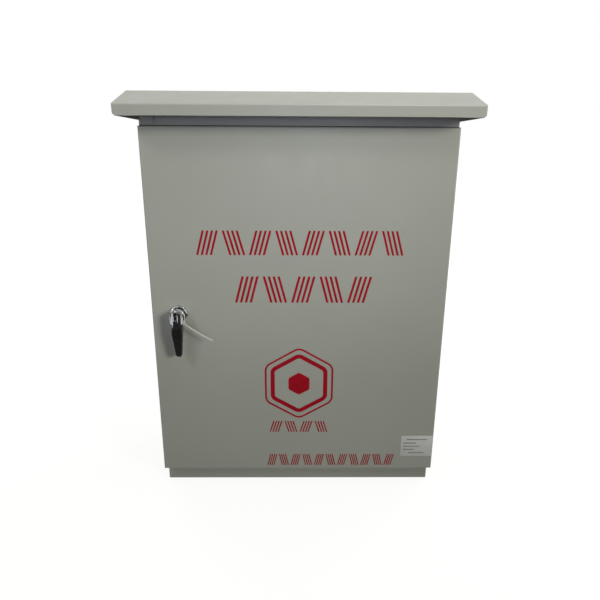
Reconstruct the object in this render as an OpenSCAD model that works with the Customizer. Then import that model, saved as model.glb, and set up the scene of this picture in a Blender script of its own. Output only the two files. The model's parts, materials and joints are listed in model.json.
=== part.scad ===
// Wall-mounted lighting control cabinet with a sloped rain canopy
// Origin: middle of the base. +X right, -Y to the front, +Z up. Millimetres.

/* [Cabinet body] */
// Width of the welded body
body_w = 594; // [560:2:680]
// Height of the welded body
body_h = 800; // [760:10:960]
// Depth of the welded body
body_d = 220; // [200:5:300]
// Thickness of the body, door and canopy sheet
sheet = 1.5; // [1.2:0.1:2]
// Outside radius of the sheet's folds
fold_r = 3; // [2.2:0.2:4]
// Width of the front frame at each side
frame_side = 30; // [28:1:40]
// Height of the front frame at the top
frame_top = 60; // [55:1:80]
// Height of the front frame at the bottom
frame_bottom = 70; // [65:1:90]
// Depth of the rain lip around the opening
frame_lip = 12; // [11:0.5:13]
// How far the header above the door stands in front of the body
header_d = 15; // [12:1:18]
// Radius of the wall fixing holes
wall_hole_r = 5; // [4:0.5:6]
// Wall fixing holes from the body's side
wall_hole_x = 67; // [57:5:97]
// Height of the lower wall fixing holes
wall_hole_low = 50; // [40:1:60]
// Upper wall fixing holes below the body's top
wall_hole_top = 40; // [30:1:60]

/* [Door] */
// How far the door stands past each side of the body
door_over = 3; // [2:0.5:5]
// Height of the door's lower edge
door_bottom = 40; // [36:1:42]
// Door's upper edge below the body's top
door_top = 30; // [28:1:34]
// Depth of the door tray
door_t = 20; // [19:0.5:22]
// Gap between the door's edge and the front frame
door_gap = 3; // [2.5:0.5:5]
// Width of the foamed seal
seal_w = 10; // [8:0.5:10]
// Middle of each stiffening rib from the door's side
rib_x = 150; // [120:5:200]
// Width over the crown of a rib
rib_w = 40; // [30:2:60]
// Height of a rib off the door sheet
rib_h = 12; // [8:1:14]
// Width of each welded foot of a rib
rib_foot = 14; // [8:1:20]
// Distance of a rib's end from the door's edge
rib_end = 80; // [60:5:120]

/* [Canopy] */
// Overhang past each side of the body
canopy_side = 28; // [15:1:45]
// Overhang past the door's front
canopy_front = 58.5; // [50:0.5:100]
// How far the skirt hangs below the body's top
canopy_drop = 15.5; // [8:0.5:20]
// Height of the front fascia
fascia_h = 19; // [15:1:30]
// Depth of the sloped part
slope_run = 93; // [60:1:140]
// Rise of the sloped part
slope_rise = 30; // [15:1:45]
// Depth of the fascia's folded lower edge
canopy_hem = 12; // [6:1:20]
// Radius of the fascia's lower corners
fascia_corner = 6; // [4:1:9]
// Middle of each support rail from the body's side
stand_x = 77; // [57:5:147]
// Length of a support rail
stand_len = 170; // [120:5:180]
// Width of a support rail's flanges
stand_w = 40; // [30:1:50]

/* [Hinges] */
// Hinge axis from the door's side face
hinge_inset = 7.5; // [7:0.1:7.8]
// Hinge axis in front of the door's rear edge
hinge_depth = 10; // [9.5:0.5:11]
// Radius of the hinge pin
hinge_pin_r = 3; // [2.5:0.1:3.4]
// Height of a hinge
hinge_h = 60; // [50:2:90]
// Hinge middle from the door's end
hinge_end = 120; // [80:5:200]

/* [Lock] */
// Lock axis from the door's left edge
lock_inset = 55; // [50:1:60]
// Radius of the escutcheon
escutcheon_r = 19; // [17:0.5:22]
// Height of the escutcheon
escutcheon_h = 6; // [4:0.5:8]
// Radius of the threaded barrel
barrel_r = 10.8; // [10:0.1:12]
// Radius of the spindle in the barrel
spindle_r = 7; // [6.5:0.1:8]
// Side of the spindle's square end
spindle_square = 9; // [8:0.5:9]
// Radius of the handle's hub
hub_r = 12.5; // [12:0.5:14]
// Height of the hub over the door
hub_h = 33; // [30:1:36]
// Length from the lock axis to the middle of the lever's tip
lever_len = 79; // [70:1:90]
// Radius of the lever's head
lever_head_r = 13; // [12.5:0.5:15]
// Radius of the lever's tip
lever_tip_r = 6; // [5:0.5:8]
// Where the grip begins below the lock axis
grip_start = 23; // [20:1:40]
// Radius of the key plug
plug_r = 6; // [5:0.5:7]
// Length of the cam from the lock axis
cam_len = 38; // [34:1:44]
// Width of the cam's arm
cam_w = 18; // [14:1:22]

/* [Inside] */
// Mounting plate's edge from the body's side
plate_side = 37; // [34:1:45]
// Mounting plate's edge from the body's top and bottom
plate_end = 80; // [75:1:90]
// Thickness of the mounting plate
plate_t = 2; // [1.5:0.5:3]
// Space behind the mounting plate
plate_stand = 13.5; // [10:0.5:20]
// Width of the wiring ducts
duct_w = 35; // [25:1:40]
// Depth of the wiring ducts
duct_d = 55; // [40:1:60]
// Width of one pole of a breaker
pole_w = 17.6; // [17:0.1:18]
// Number of feed-through terminals
terminal_count = 14; // [8:1:16]
// Width of one terminal
terminal_w = 6; // [5:0.1:6.5]
// Length of the earth bar
earth_len = 150; // [100:5:160]

/* [Cable entry] */
// Width of the opening in the base
entry_w = 300; // [260:5:340]
// Depth of the opening in the base
entry_d = 72; // [60:1:76]
// Middle of the opening behind the body's middle
entry_y = 54; // [50:1:56]
// Rim of the cover plate past the opening
entry_rim = 14; // [12:1:15]
// Number of cable grommets
grommet_count = 4; // [2:1:4]
// Radius of a grommet's neck
grommet_r = 16; // [10:1:20]

/* [Hidden] */
$fn = 64;

paint = [0.60, 0.61, 0.57];
zinc = [0.74, 0.75, 0.76];
steel = [0.55, 0.56, 0.57];
chrome = [0.82, 0.83, 0.85];
black = [0.06, 0.06, 0.06];
rubber = [0.12, 0.12, 0.12];
brass = [0.78, 0.62, 0.30];
pale = [0.86, 0.86, 0.84];
duct_grey = [0.66, 0.68, 0.70];
device_grey = [0.34, 0.36, 0.38];
nylon = [0.90, 0.90, 0.86];

// Clearances shared by the pieces that fit together
run_gap = 0.05;
press_gap = 0.02;
slip_gap = 0.1;
loose_gap = 0.3;
through = 1;

// Planes of the body and the door
body_front = -body_d / 2;
body_back = body_d / 2;
back_inside = body_back - sheet;
door_back = body_front - door_gap;
door_front = door_back - door_t;
door_inside = door_front + sheet;
door_w = body_w + 2 * door_over;
door_h = body_h - door_bottom - door_top;
open_x = body_w / 2 - frame_side;
open_low = frame_bottom;
open_high = body_h - frame_top;
lip_front = body_front - frame_lip;
hole_x = body_w / 2 - wall_hole_x;
rib_mid = door_w / 2 - rib_x;
header_front = body_front - header_d;
header_over = 2;
header_gap = 1.5;
header_half = body_w / 2 + header_over;
header_low = body_h - door_top + header_gap;
seam_in = 27;
seam_x = -body_w / 2 + seam_in;
seam_w = 1.6;
seam_end = 2.5;

// Canopy heights and depths
skirt_z = body_h - canopy_drop;
fascia_z = skirt_z + fascia_h;
ridge_z = fascia_z + slope_rise;
canopy_y = door_front - canopy_front;
ridge_y = canopy_y + slope_run;
canopy_w = body_w + 2 * canopy_side;
stand_h = ridge_z - sheet - body_h;
stand_t = 2;
stand_mid = body_w / 2 - stand_x;
stand_bolt_r = 4;
stand_bolt_y = [-55, 65];
stand_y = (stand_bolt_y[0] + stand_bolt_y[1]) / 2;
bolt_flats = 13;
bolt_head_t = 5.3;
bolt_spare = 10;
nut_h = 6.5;

// Hinge axis
hinge_x = door_w / 2 - hinge_inset;
hinge_y = door_back - hinge_depth;
hinge_z = [door_bottom + hinge_end, door_bottom + door_h - hinge_end];
leaf_half = hinge_h / 4 - loose_gap;
ear_half = hinge_h / 2;
knuckle_wall = 2;
knuckle_r = hinge_pin_r + knuckle_wall;
hinge_arm_t = 3;
hinge_leg = [-18.5, -14.5];
hinge_plate_t = 4;
hinge_foot = 13;
hinge_foot_t = 2.5;
pin_spare = 2;
pin_head_h = 3;
pin_head_r = hinge_pin_r + 1.5;
pin_head_top = hinge_pin_r + 0.5;

// Lock axis
lock_x = -door_w / 2 + lock_inset;
lock_z = door_bottom + door_h / 2;
hub_back = escutcheon_h + loose_gap;
plug_len = hub_h - hub_back - 8;
plug_proud = 1;
keyway = [1.8, 8, 7];
escutcheon_edge = 4;
cam_t = 3;
cam_gap = 2.5;
cam_top = -(door_gap + door_t + sheet + cam_gap);
cam_back = cam_top - cam_t;
cam_edge = 2;
cam_corner = 4;
nut_t = 5;
nut_rim = 3;
screw_r = 2;
screw_depth = 14;
cam_washer_r = 8;
cam_washer_t = 1.2;
cam_screw_flats = 8;
cam_screw_head = 3;
lever_t = 11;
lever_bend_r = 20;
crown_r = lever_head_r + 3;
crown_rise = 1;
hub_lap = 2;
tip_drop = 9;
tip_thin = 2;
chrome_half = 8.5;
chrome_shoulder = 12;
chrome_end_r = 6;
tongue_inset = 2.5;
tongue_nose = 0.5;
tongue_end = -lever_len + 4;

// Nylon tie that hangs round the hub, and its tail
tie_r = 14.2;
tie_w = 2.6;
tie_t = 1.1;
tie_hang = 1;
tie_h = hub_h / 2 - 2;
tie_lean = 5;
tie_head = [6, 5.5, 4.5];
tie_head_turn = -46;
tail_aim = -35;
tail_turn = -10;
tail_len = 66;
tail_bow = tail_len * 180 / PI / tail_turn;

// Mounting plate and what stands on it
plate_back = back_inside - plate_stand;
plate_front = plate_back - plate_t;
plate_w = body_w - 2 * plate_side;
plate_h = body_h - 2 * plate_end;
plate_low = plate_end;
plate_corner = 5;
stud_r = 4;
stud_boss_r = 8;
stud_len = 15;
stud_side = 12;
stud_end = 20;
stud_x = plate_w / 2 - stud_side;
stud_z = [plate_low + stud_end, plate_low + plate_h - stud_end];
washer_r = 8;
washer_t = 1.6;
duct_wall = 1.5;
duct_edge = 15;
duct_x = stud_x - stud_side - duct_w / 2;
duct_root = 14;
duct_slot = 5;
duct_pitch = 12.5;
cover_lip = 6;
duct_lap = duct_wall + slip_gap;
cross_len = 2 * (duct_x - duct_w / 2 - duct_lap - loose_gap);
cross_pitch = (plate_h - 2 * duct_edge - duct_w) / 3;
cross_low = plate_low + duct_edge + duct_w / 2;
cross_z = [for (i = [0 : 3]) cross_low + i * cross_pitch];
row_z = [for (i = [0 : 2]) (cross_z[i] + cross_z[i + 1]) / 2];
rail_d = 7.5;
rail_t = 1;
rail_half = 17.5;
rail_web = 13.5;
rail_end = 5;
rail_len = cross_len - 2 * rail_end;
rail_slot = [15, 6];
rail_slot_pitch = 25;
rail_screw_end = 8;
rail_screw_h = 3;
rail_screw_r = 4.5;
rail_screw_top = 3.5;
clip_d = rail_d - 3;
clip_reach = 2;
row_start = -rail_len / 2 + 27.7;

// Devices: [height, shoulder depth, nose height, nose depth]
breaker_form = [82, 49, 45, 67];
contactor_form = [76, 50, 50, 82];
supply_form = [112, 62, 70, 86];
controller_form = [92, 44, 48, 60];
terminal_form = [46, 34, 16, 46];
stop_form = [40, 26, 26, 34];
form_edge = 2;
form_inner = 1;
well_d = 7;
entry_deep = 7;
entry_tall = 2;
stack_gap = 0.2;
main_poles = 3;
main_w = main_poles * pole_w;
main_x = row_start + main_w / 2;
pole_groove = 0.6;
branch_count = 4;
branch_gap = 12;
branch_pitch = pole_w + 2 * stack_gap;
branch_x = main_x + main_w / 2 + branch_gap + pole_w / 2;
breaker_well_r = 3;
contactor_w = 45;
contactor_gap = 50;
contactor_x = branch_x + (branch_count - 1) * branch_pitch + pole_w / 2 + contactor_gap + contactor_w / 2;
contactor_poles = 3;
contactor_pitch = 13;
contactor_well_r = 3.5;
armature = [12, 16, 9];
armature_proud = 4;
armature_groove = [2, 1.5];
supply_w = 62;
supply_x = row_start + supply_w / 2;
supply_wells = 5;
supply_pitch = 10;
supply_well_r = 2.5;
louvre = [supply_w - 20, 3, 3];
louvre_pitch = 8;
controller_w = 140;
controller_gap = 50;
controller_x = supply_x + supply_w / 2 + controller_gap + controller_w / 2;
controller_wells = 13;
controller_pitch = 10;
controller_well_r = 2;
controller_face = [controller_w - 16, controller_form[2] - 10, 1.2];
terminal_pitch = terminal_w + stack_gap;
terminal_well_r = 1.9;
stop_w = 8;
stop_screw_r = 2.5;
stop_screw_d = 6;
terminal_x = row_start + stop_w + stack_gap + terminal_w / 2;
toggle_r = 7;
toggle_pivot = breaker_form[3] - toggle_r;
toggle_slot = 8;
toggle_lean = 25;
toggle_root = 3;
toggle_len = 18;
toggle_root_half = 2.4;
toggle_end_half = 1.8;
toggle_edge = 1.2;
trunnion_r = 1.5;
trunnion_len = 2;
earth_bar = [earth_len, 12, 6];
earth_x = -row_start - earth_len / 2;
earth_drop = 46;
earth_post_r = 7;
earth_post_h = 22;
earth_post_rib = 1.5;
earth_post_end = 18;
earth_pitch = 14;
earth_end = 10;
earth_screw_r = 2.5;
earth_head_r = 4.5;
earth_head_h = 3;
earth_slot = [1, 1.2];
earth_stud_r = 3;
earth_stud_len = 16;
earth_stud_foot = [6, 2];
earth_stud_flats = 10;
earth_stud_nut = 5;
earth_stud_side = 60;
earth_stud_up = 40;

// Cable entry stack
entry_gasket_t = 2;
entry_plate_t = 2;
entry_top = sheet + entry_gasket_t + entry_plate_t;
entry_under = entry_top - entry_plate_t;
entry_screw_head = [4, 3, 2.4];
grommet_flange = 3.5;
grommet_wall = 2;
grommet_bevel = 1;
grommet_step_h = 2;
grommet_step_r = grommet_r / 4;
grommet_h = grommet_flange + 3 * grommet_step_h;
entry_screw_x = entry_w / 2 + entry_rim / 2;
entry_screw_y = entry_d / 2 + entry_rim / 2;
grommet_pitch = entry_w / grommet_count;

// Geometry helpers

// Block between two opposite corners
module block(low, high) {
  translate(low) cube(high - low);
}

// Outline drawn as [y, z] and stretched along X about the middle
module along_x(length) {
  rotate([90, 0, 90]) linear_extrude(length, center = true) children();
}

// Round bar along Y from one depth to another
module bar_y(x, z, from, to, r) {
  translate([x, from, z]) rotate([-90, 0, 0]) cylinder(h = to - from, r = r);
}

// Frame whose local Z points out of the door, with the lock axis as its origin
module at_lock() {
  translate([lock_x, door_front, lock_z]) rotate([90, 0, 0]) children();
}

// Frame whose local Z points out of the mounting plate
module on_plate(x, z) {
  translate([x, plate_front, z]) rotate([90, 0, 0]) children();
}

function unit(v) = v / norm(v);

// Outline through corners [x, y, radius], each rounded by an arc
function rounded(corners, steps = 6) = [
  for (i = [0 : len(corners) - 1])
    let (
      count = len(corners),
      c = corners[i],
      before = corners[(i + count - 1) % count],
      after = corners[(i + 1) % count],
      p = [c.x, c.y],
      u = unit([before.x, before.y] - p),
      v = unit([after.x, after.y] - p),
      half = acos(max(-1, min(1, u * v))) / 2,
      sweep = 180 - 2 * half,
      centre = p + unit(u + v) * c.z / sin(half),
      first = p + u * c.z / tan(half) - centre,
      last = p + v * c.z / tan(half) - centre
    )
    each c.z == 0 ? [p] : [
      for (k = [0 : steps])
        centre + (first * sin((1 - k / steps) * sweep) + last * sin(k / steps * sweep)) / sin(sweep)
    ]
];

// Rectangle with rounded corners
function round_box(low, high, r) = rounded([
  [low.x, low.y, r], [high.x, low.y, r], [high.x, high.y, r], [low.x, high.y, r]
]);

// Taper between a head circle at the origin and a tip circle below it
function taper(head_r, tip_r, length, steps = 16) =
  let (lean = asin((head_r - tip_r) / length))
  concat(
    [for (k = [0 : steps]) let (a = -lean + k / steps * (180 + 2 * lean)) head_r * [cos(a), sin(a)]],
    [for (k = [0 : steps]) let (a = 180 + lean + k / steps * (180 - 2 * lean))
      [0, -length] + tip_r * [cos(a), sin(a)]]
  );

// Hexagon nut or head across flats, along Z
module hexagon(flats, height) {
  cylinder(h = height, d = flats / cos(30), $fn = 6);
}

// Body

module body_shell() {
  color(paint) difference() {
    union() {
      difference() {
        linear_extrude(body_h)
          polygon(round_box([-body_w / 2, body_front], [body_w / 2, body_back], fold_r));
        translate([0, 0, sheet]) linear_extrude(body_h - 2 * sheet)
          polygon(round_box(
            [-body_w / 2 + sheet, body_front + sheet],
            [body_w / 2 - sheet, back_inside],
            fold_r - sheet
          ));
      }
      block(
        [-open_x - sheet, lip_front, open_low - sheet],
        [open_x + sheet, body_front + sheet, open_high + sheet]
      );
    }
    block([-open_x, lip_front - through, open_low], [open_x, body_front + sheet + through, open_high]);
    for (x = [-hole_x, hole_x], z = [wall_hole_low, body_h - wall_hole_top])
      bar_y(x, z, back_inside - through, body_back + through, wall_hole_r);
    for (x = [-stand_mid, stand_mid], y = stand_bolt_y)
      translate([x, y, body_h - sheet - through])
        cylinder(h = sheet + 2 * through, r = stand_bolt_r + slip_gap);
    block(
      [-entry_w / 2, entry_y - entry_d / 2, -through],
      [entry_w / 2, entry_y + entry_d / 2, sheet + through]
    );
    entry_screw_places() translate([0, 0, -through]) cylinder(h = sheet + 2 * through, r = screw_r + press_gap);
  }
}

// Folded header over the door, open below, with an open joint in its face
module door_header() {
  color(paint) difference() {
    translate([0, 0, header_low]) linear_extrude(body_h - header_low) polygon(rounded([
      [-header_half, body_front, 0], [-header_half, header_front, fold_r],
      [header_half, header_front, fold_r], [header_half, body_front, 0]
    ]));
    block(
      [-header_half + sheet, header_front + sheet, header_low - through],
      [header_half - sheet, body_front + through, body_h - sheet]
    );
    block(
      [seam_x - seam_w / 2, header_front - through, header_low + seam_end],
      [seam_x + seam_w / 2, header_front + sheet + through, body_h - sheet]
    );
  }
}

// Canopy

// Side outline of the canopy, moved inwards by a wall thickness
function canopy_outline(wall, floor_z, bend) =
  let (
    lean = atan2(slope_rise, slope_run),
    lift = wall / cos(lean)
  )
  rounded([
    [canopy_y + wall, floor_z, 0],
    [canopy_y + wall, fascia_z + wall * tan(lean) - lift, bend],
    [ridge_y + (lift - wall) / tan(lean), ridge_z - wall, bend],
    [body_back - wall, ridge_z - wall, bend],
    [body_back - wall, floor_z, 0]
  ]);

// Waste outside a rounded lower corner of the fascia
module fascia_waste(side) {
  x = side * canopy_w / 2;
  inner = x - side * fascia_corner;
  depth = canopy_hem + 2 * through;
  difference() {
    block(
      [min(x, inner) - through, canopy_y - through, skirt_z - through],
      [max(x, inner) + through, canopy_y - through + depth, skirt_z + fascia_corner]
    );
    bar_y(inner, skirt_z + fascia_corner, canopy_y - 2 * through, canopy_y + depth, fascia_corner);
    block(
      [min(inner, inner - 2 * side * through), canopy_y - 2 * through, skirt_z],
      [max(inner, inner - 2 * side * through), canopy_y + depth, skirt_z + 2 * fascia_corner]
    );
  }
}

module canopy() {
  color(paint) difference() {
    union() {
      difference() {
        intersection() {
          along_x(canopy_w) polygon(canopy_outline(0, skirt_z, fold_r));
          linear_extrude(ridge_z + through)
            polygon(round_box([-canopy_w / 2, canopy_y], [canopy_w / 2, body_back], fold_r));
        }
        along_x(canopy_w - 2 * sheet) polygon(canopy_outline(sheet, skirt_z - through, fold_r - sheet));
      }
      block(
        [-canopy_w / 2 + sheet, canopy_y + sheet / 2, skirt_z],
        [canopy_w / 2 - sheet, canopy_y + canopy_hem, skirt_z + sheet]
      );
    }
    block(
      [-body_w / 2 - loose_gap, body_front, skirt_z - through],
      [body_w / 2 + loose_gap, body_back + through, body_h]
    );
    for (side = [-1, 1]) fascia_waste(side);
  }
}

// Folded channel that carries the canopy, open towards the middle
module canopy_rail(side) {
  color(zinc) difference() {
    translate([side * stand_mid, stand_y, body_h]) rotate([90, 0, 0]) linear_extrude(stand_len, center = true)
      polygon([for (p = [
        [1, 0], [-1, 0], [-1, stand_t], [1 - 2 * stand_t / stand_w, stand_t],
        [1 - 2 * stand_t / stand_w, stand_h - stand_t], [-1, stand_h - stand_t], [-1, stand_h], [1, stand_h]
      ]) [side * p.x * stand_w / 2, p.y]]);
    for (y = stand_bolt_y)
      translate([side * stand_mid, y, body_h - through])
        cylinder(h = stand_t + 2 * through, r = stand_bolt_r + slip_gap);
  }
}

module canopy_rail_left() canopy_rail(-1);
module canopy_rail_right() canopy_rail(1);

module canopy_bolt_places() {
  for (x = [-stand_mid, stand_mid], y = stand_bolt_y) translate([x, y, body_h]) children();
}

module canopy_bolts() {
  color(zinc) canopy_bolt_places() {
    translate([0, 0, -sheet - bolt_head_t]) hexagon(bolt_flats, bolt_head_t);
    translate([0, 0, -sheet - through]) cylinder(h = sheet + through + stand_t + bolt_spare, r = stand_bolt_r);
  }
}

module canopy_nuts() {
  color(zinc) canopy_bolt_places() translate([0, 0, stand_t]) difference() {
    hexagon(bolt_flats, nut_h);
    translate([0, 0, -through]) cylinder(h = nut_h + 2 * through, r = stand_bolt_r + press_gap);
  }
}

// Cable entry

module entry_screw_places() {
  for (x = [-entry_screw_x, 0, entry_screw_x], side = [-1, 1])
    translate([x, entry_y + side * entry_screw_y, 0]) children();
}

module entry_ring(low_z, high_z) {
  translate([0, 0, low_z]) linear_extrude(high_z - low_z) polygon(round_box(
    [-entry_w / 2 - entry_rim, entry_y - entry_d / 2 - entry_rim],
    [entry_w / 2 + entry_rim, entry_y + entry_d / 2 + entry_rim],
    fold_r
  ));
}

module entry_screw_holes() {
  entry_screw_places() cylinder(h = entry_top + through, r = screw_r + slip_gap);
}

module gland_gasket() {
  color(rubber) difference() {
    entry_ring(sheet, sheet + entry_gasket_t);
    block([-entry_w / 2, entry_y - entry_d / 2, 0], [entry_w / 2, entry_y + entry_d / 2, entry_top]);
    entry_screw_holes();
  }
}

module grommet_places() {
  for (i = [0 : grommet_count - 1])
    translate([(i - (grommet_count - 1) / 2) * grommet_pitch, entry_y, 0]) children();
}

module gland_plate() {
  color(zinc) difference() {
    entry_ring(sheet + entry_gasket_t, entry_top);
    grommet_places() cylinder(h = entry_top + through, r = grommet_r + slip_gap);
    entry_screw_holes();
  }
}

module gland_screws() {
  color(zinc) entry_screw_places() {
    translate([0, 0, loose_gap]) cylinder(h = entry_top, r = screw_r);
    translate([0, 0, entry_top])
      cylinder(h = entry_screw_head[2], r1 = entry_screw_head[0], r2 = entry_screw_head[1]);
  }
}

// Closed rubber grommet whose stepped cone is cut to suit the cable
module cable_grommets() {
  rim = grommet_r + grommet_flange;
  cone = 3 * grommet_step_r;
  base = entry_top + grommet_flange;
  color(rubber) grommet_places() rotate_extrude() polygon(concat(
    [[0, entry_top + grommet_h]],
    [for (i = [1 : 3]) each [
      [i * grommet_step_r, entry_top + grommet_h - (i - 1) * grommet_step_h],
      [i * grommet_step_r, entry_top + grommet_h - i * grommet_step_h]
    ]],
    [
      [rim - grommet_bevel, base], [rim, base - grommet_bevel], [rim, entry_top], [grommet_r, entry_top],
      [grommet_r, entry_under], [rim, entry_under], [rim - grommet_bevel, entry_under - grommet_wall],
      [cone, entry_under - grommet_wall], [cone - grommet_wall, base],
      [0, entry_top + grommet_h - grommet_wall]
    ]
  ));
}

// Hinges

module at_hinge(z) {
  translate([hinge_x, hinge_y, z]) children();
}

// Welded bracket with two ears that reach round the door's edge
module hinge_bracket(z) {
  root = hinge_depth + door_gap;
  color(zinc) at_hinge(z) difference() {
    union() {
      for (low = [-ear_half, ear_half / 2]) {
        block([hinge_leg[0], -hinge_arm_t / 2, low], [hinge_leg[1], root, low + ear_half / 2]);
        block([hinge_leg[0], -hinge_arm_t / 2, low], [0, hinge_arm_t / 2, low + ear_half / 2]);
        translate([0, 0, low]) cylinder(h = ear_half / 2, r = knuckle_r);
      }
      block([hinge_leg[0], root - hinge_plate_t, -ear_half], [hinge_leg[1], root, ear_half]);
    }
    translate([0, 0, -ear_half - through]) cylinder(h = hinge_h + 2 * through, r = hinge_pin_r + press_gap);
  }
}

module hinge_bracket_upper() hinge_bracket(hinge_z[1]);
module hinge_bracket_lower() hinge_bracket(hinge_z[0]);

module hinge_pin(z) {
  color(steel) at_hinge(z) {
    translate([0, 0, -ear_half - pin_spare]) cylinder(h = hinge_h + pin_spare, r = hinge_pin_r);
    translate([0, 0, ear_half]) cylinder(h = pin_head_h, r1 = pin_head_r, r2 = pin_head_top);
  }
}

module hinge_pin_upper() hinge_pin(hinge_z[1]);
module hinge_pin_lower() hinge_pin(hinge_z[0]);

// Knuckle and foot welded to the inside of the door
module hinge_leaf(z) {
  floor_y = door_inside - hinge_y;
  color(zinc) at_hinge(z) difference() {
    union() {
      translate([0, 0, -leaf_half]) cylinder(h = 2 * leaf_half, r = knuckle_r);
      block([-knuckle_r, floor_y, -leaf_half], [knuckle_r, 0, leaf_half]);
      block([-hinge_foot, floor_y, -leaf_half], [knuckle_r, floor_y + hinge_foot_t, leaf_half]);
    }
    translate([0, 0, -leaf_half - through])
      cylinder(h = 2 * leaf_half + 2 * through, r = hinge_pin_r + run_gap);
  }
}

module hinge_leaf_upper() hinge_leaf(hinge_z[1]);
module hinge_leaf_lower() hinge_leaf(hinge_z[0]);

// Door

module door_panel() {
  high = door_bottom + door_h;
  color(paint) difference() {
    intersection() {
      translate([0, 0, door_bottom]) linear_extrude(door_h) polygon(rounded([
        [-door_w / 2, door_back, 0], [-door_w / 2, door_front, fold_r],
        [door_w / 2, door_front, fold_r], [door_w / 2, door_back, 0]
      ]));
      along_x(door_w) polygon(rounded([
        [door_back, door_bottom, 0], [door_front, door_bottom, fold_r],
        [door_front, high, fold_r], [door_back, high, 0]
      ]));
    }
    block(
      [-door_w / 2 + sheet, door_inside, door_bottom + sheet],
      [door_w / 2 - sheet, door_back + through, high - sheet]
    );
    bar_y(lock_x, lock_z, door_front - through, door_inside + through, barrel_r + slip_gap);
  }
}

// Foamed seal that closes on the rain lip's edge
module door_seal() {
  near = (seal_w - sheet) / 2;
  far = near + sheet;
  color(rubber) difference() {
    block([-open_x - far, door_inside, open_low - far], [open_x + far, lip_front, open_high + far]);
    block(
      [-open_x + near, door_inside - through, open_low + near],
      [open_x - near, lip_front + through, open_high - near]
    );
  }
}

// Hat-section ribs spot welded to the door sheet
module door_ribs() {
  t = 1.2;
  half = rib_w / 2;
  lean = 3;
  color(paint) for (x = [-rib_mid, rib_mid])
    translate([x, door_inside, door_bottom + rib_end]) linear_extrude(door_h - 2 * rib_end) polygon([
      [-half - rib_foot, 0], [-half, 0], [-half + lean, rib_h - t], [half - lean, rib_h - t], [half, 0],
      [half + rib_foot, 0], [half + rib_foot, t], [half + t, t], [half - lean + t, rib_h],
      [-half + lean - t, rib_h], [-half - t, t], [-half - rib_foot, t]
    ]);
}

// Welded earth stud with its nut, standing along local Z
module earth_stud() {
  cylinder(h = earth_stud_foot[1], r = earth_stud_foot[0]);
  cylinder(h = earth_stud_len, r = earth_stud_r);
  translate([0, 0, earth_stud_nut]) hexagon(earth_stud_flats, earth_stud_nut);
}

module door_earth_stud() {
  color(brass) translate([open_x - earth_stud_side, door_inside, open_low + earth_stud_up])
    rotate([-90, 0, 0]) earth_stud();
}

module body_earth_stud() {
  color(brass) translate([-body_w / 2 + sheet, entry_y, open_low + earth_stud_up])
    rotate([0, 90, 0]) earth_stud();
}

// Lock

module lock_housing() {
  bore = spindle_r + run_gap;
  color(chrome) at_lock() rotate_extrude() polygon(rounded([
    [bore, cam_top + loose_gap, 0], [barrel_r, cam_top + loose_gap, 0], [barrel_r, 0, 0],
    [escutcheon_r, 0, 0], [escutcheon_r, escutcheon_h, escutcheon_edge], [bore, escutcheon_h, 0]
  ]));
}

module lock_nut() {
  color(zinc) at_lock() translate([0, 0, -sheet - nut_t]) difference() {
    hexagon(2 * (barrel_r + nut_rim), nut_t);
    translate([0, 0, -through]) cylinder(h = nut_t + 2 * through, r = barrel_r + press_gap);
  }
}

// Tapered lever with a crowned head, its tip bent towards the door, thinned all round by an inset
module lever_form(inset) {
  front = hub_h - inset;
  back = hub_h - lever_t + inset;
  end = -lever_len - lever_tip_r + inset;
  bend = -hub_r + tip_thin;
  nose_r = tongue_inset + tongue_nose - inset;
  intersection() {
    linear_extrude(2 * hub_h) polygon(taper(lever_head_r - inset, lever_tip_r - inset, lever_len));
    along_x(4 * lever_head_r) polygon(rounded([
      [lever_head_r + through, front, 0], [bend, front, lever_bend_r], [end, front - tip_drop, nose_r],
      [end, back - tip_drop + tip_thin, nose_r], [bend, back, lever_bend_r], [lever_head_r + through, back, 0]
    ]));
    translate([0, 0, hub_h + crown_rise - crown_r]) rotate([90, 0, 0])
      cylinder(h = 4 * lever_len, r = crown_r - inset, center = true);
  }
}

// Front view of the chrome head, with a round-ended tongue below its shoulders
function chrome_outline(gap) =
  let (side = 2 * lever_head_r, half = chrome_half + gap, end_r = chrome_end_r + gap)
  rounded([
    [side, side, 0], [-side, side, 0], [-side, -chrome_shoulder - gap, 0],
    [-half, -chrome_shoulder - gap, 0], [-half, -grip_start - gap, end_r],
    [half, -grip_start - gap, end_r], [half, -chrome_shoulder - gap, 0], [side, -chrome_shoulder - gap, 0]
  ]);

// Core of the lever that the grip is moulded over
module lever_core(gap) {
  intersection() {
    lever_form(tongue_inset - gap);
    block([-lever_head_r, tongue_end - gap, 0], [lever_head_r, 0, 2 * hub_h]);
  }
}

module handle() {
  color(chrome) at_lock() difference() {
    union() {
      translate([0, 0, cam_top]) cylinder(h = hub_back - cam_top + through, r = spindle_r);
      translate([0, 0, (cam_back + cam_top) / 2 + slip_gap])
        cube([spindle_square, spindle_square, cam_t], center = true);
      translate([0, 0, hub_back]) cylinder(h = hub_h - lever_t + hub_lap - hub_back, r = hub_r);
      intersection() {
        lever_form(0);
        linear_extrude(2 * hub_h) polygon(chrome_outline(0));
      }
      lever_core(0);
    }
    translate([0, 0, hub_h - plug_len]) cylinder(h = plug_len + through, r = plug_r + run_gap);
    translate([0, 0, cam_back - through]) cylinder(h = screw_depth, r = screw_r + press_gap);
  }
}

module handle_grip() {
  color(black) at_lock() difference() {
    lever_form(0);
    linear_extrude(2 * hub_h) polygon(chrome_outline(slip_gap));
    lever_core(slip_gap);
  }
}

// Key plug with its keyway
module key_plug() {
  color(chrome) at_lock() difference() {
    translate([0, 0, hub_h - plug_len + slip_gap]) cylinder(h = plug_len - slip_gap + plug_proud, r = plug_r);
    translate([0, 0, hub_h + plug_proud]) cube(keyway, center = true);
  }
}

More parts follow.
